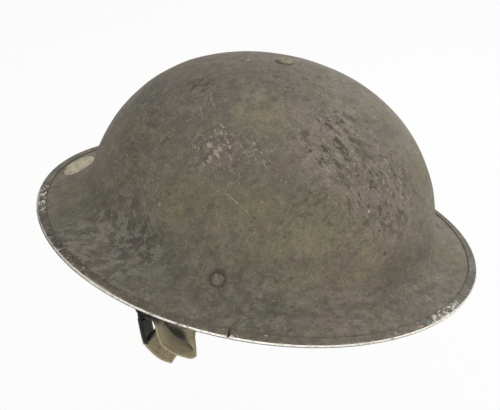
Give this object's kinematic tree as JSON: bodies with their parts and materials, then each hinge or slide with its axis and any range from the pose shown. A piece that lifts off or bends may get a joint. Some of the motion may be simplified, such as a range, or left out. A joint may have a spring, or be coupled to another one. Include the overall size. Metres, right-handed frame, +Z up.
{
  "type": "helmet",
  "caption": "Wide-brimmed pressed steel helmet with a folded rim band, riveted lugs, a fibre and oilcloth liner and a swinging webbing chinstrap with a slide buckle.",
  "frame": {"origin": "centre of the rim's mean plane, in the middle of the opening that the head enters", "axes": "+Z up through the crown, the front of the helmet towards -Y, the wearer's left towards +X"},
  "size_m": [0.284, 0.3048, 0.189],
  "materials": {
    "steel_paint": "worn matt olive-brown paint on pressed steel",
    "fibre": "compressed brown fibre board",
    "oilcloth": "black oiled cloth over padding",
    "felt": "grey-brown felt",
    "cord": "braided cotton lace",
    "rubber": "moulded black rubber",
    "brass": "dull brass",
    "washer_steel": "plain washer steel",
    "webbing": "khaki cotton webbing",
    "buckle_black": "black lacquered wire and strip"
  },
  "bodies": {
    "helmet": {"shell": "steel_paint", "rim_band": "steel_paint", "crown_screw": "steel_paint", "crown_washer": "fibre", "lower_washer": "washer_steel", "crown_nut": "brass", "liner_band_side": "fibre", "liner_band_long": "fibre", "headband": "fibre", "sweatband": "oilcloth", "crown_tongues": "oilcloth", "lace": "cord", "crown_pad": "felt", "buffers": "rubber", "buffer_rivets": "brass", "band_rivets": "brass", "lug_left": "steel_paint", "lug_right": "steel_paint", "lug_rivets": "steel_paint"},
    "chinstrap": {"strap_end_left": "webbing", "strap_end_right": "webbing", "strap_left": "webbing", "strap_right": "webbing", "strap_buckle": "buckle_black"}
  },
  "joints": [
    {"name": "chinstrap_swing", "type": "hinge", "parent": "helmet", "child": "chinstrap", "pos_m": [0, 0, -0.0058], "axis": [1, 0, 0], "range_deg": [-10, 100], "deforming": ["strap_end_left", "strap_end_right"]}
  ]
}
